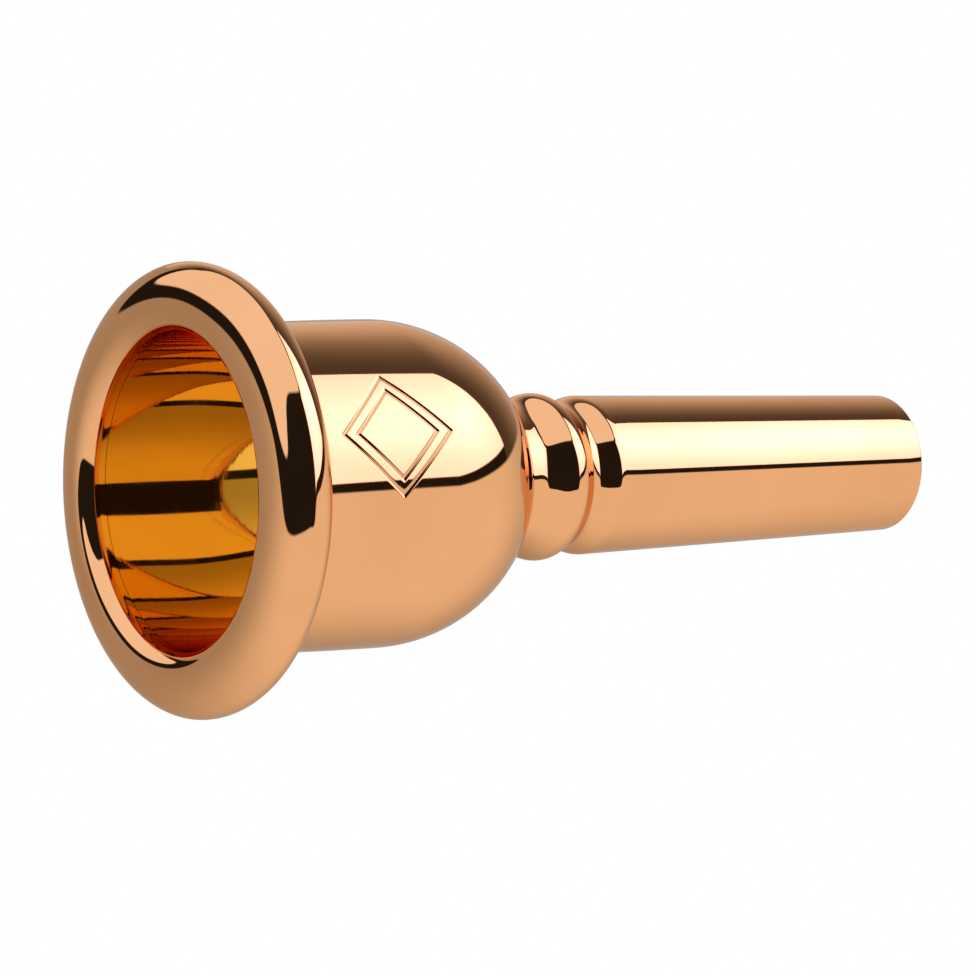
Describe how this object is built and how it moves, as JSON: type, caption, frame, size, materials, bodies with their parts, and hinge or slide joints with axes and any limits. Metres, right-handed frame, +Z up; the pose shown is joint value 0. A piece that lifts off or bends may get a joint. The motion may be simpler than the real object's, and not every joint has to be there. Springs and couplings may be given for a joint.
{
  "type": "brass instrument mouthpiece",
  "caption": "Large-shank trombone mouthpiece: rounded rim screwed on a deep cup, cup screwed on a beaded neck with throat, backbore and long tapered shank.",
  "frame": {"origin": "centre of the shank's open end face", "axes": "+X runs along the bore and out of the shank's end, so the rim is at -X; +Z is up; the engraved lozenge is on the -Y side"},
  "size_m": [0.0805, 0.039, 0.039],
  "materials": {
    "rim": "mirror-polished rose gold plate",
    "cup": "mirror-polished rose gold plate, engraved",
    "shank": "mirror-polished rose gold plate",
    "rim_o_ring": "matt moulded rubber",
    "shank_o_ring": "matt moulded rubber"
  },
  "bodies": {
    "shank": {"shank": "shank"},
    "shank_ring": {"shank_o_ring": "shank_o_ring"},
    "cup": {"cup": "cup"},
    "rim_ring": {"rim_o_ring": "rim_o_ring"},
    "rim": {"rim": "rim"}
  },
  "joints": [
    {"name": "cup_turn", "type": "hinge", "parent": "shank", "child": "shank_ring", "pos_m": [-0.0467, 0, 0], "axis": [-1, 0, 0], "range_deg": [0, 2340]},
    {"name": "cup_unscrew", "type": "slide", "parent": "shank_ring", "child": "cup", "axis": [-1, 0, 0], "range_m": [0, 0.00487]},
    {"name": "rim_turn", "type": "hinge", "parent": "cup", "child": "rim_ring", "pos_m": [-0.07538, 0, 0], "axis": [-1, 0, 0], "range_deg": [0, 1440]},
    {"name": "rim_unscrew", "type": "slide", "parent": "rim_ring", "child": "rim", "axis": [-1, 0, 0], "range_m": [0, 0.00299]}
  ],
  "couplings": [
    {"joint": "cup_turn", "follows": "cup_unscrew", "rad_per_m": 8377.6},
    {"joint": "rim_turn", "follows": "rim_unscrew", "rad_per_m": 8377.6}
  ]
}
